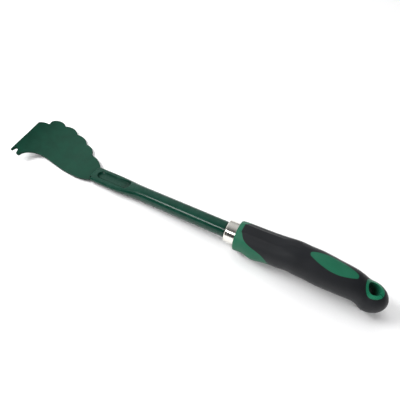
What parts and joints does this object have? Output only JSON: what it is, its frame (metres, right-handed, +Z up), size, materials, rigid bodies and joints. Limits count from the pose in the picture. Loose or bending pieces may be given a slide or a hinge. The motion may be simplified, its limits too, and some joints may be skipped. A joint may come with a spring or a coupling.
{
  "type": "hand weeder",
  "caption": "One-handed weeder: upturned, scalloped steel blade with a notched tip on a painted tube, and a soft-grip moulded handle with a hanging hole.",
  "frame": {"origin": "centre of the hanging hole's bore, inside the handle", "axes": "+X from the blade to the butt, level with the table; +Z up; -Y is the side with the notched tip"},
  "size_m": [0.4149, 0.0714, 0.0364],
  "materials": {
    "blade_paint": "satin powder coat",
    "tube_paint": "gloss powder coat",
    "ferrule_plating": "bright nickel plate",
    "core_plastic": "fine matt polypropylene",
    "grip_rubber": "matt soft-touch",
    "eyelet_plastic": "moulded, semi-gloss"
  },
  "bodies": {
    "root": {"blade": "blade_paint", "shaft_tube": "tube_paint", "tang_weld": "blade_paint", "ferrule": "ferrule_plating", "handle_core": "core_plastic", "grip_sleeve": "grip_rubber", "hang_eyelet": "eyelet_plastic"}
  },
  "joints": []
}
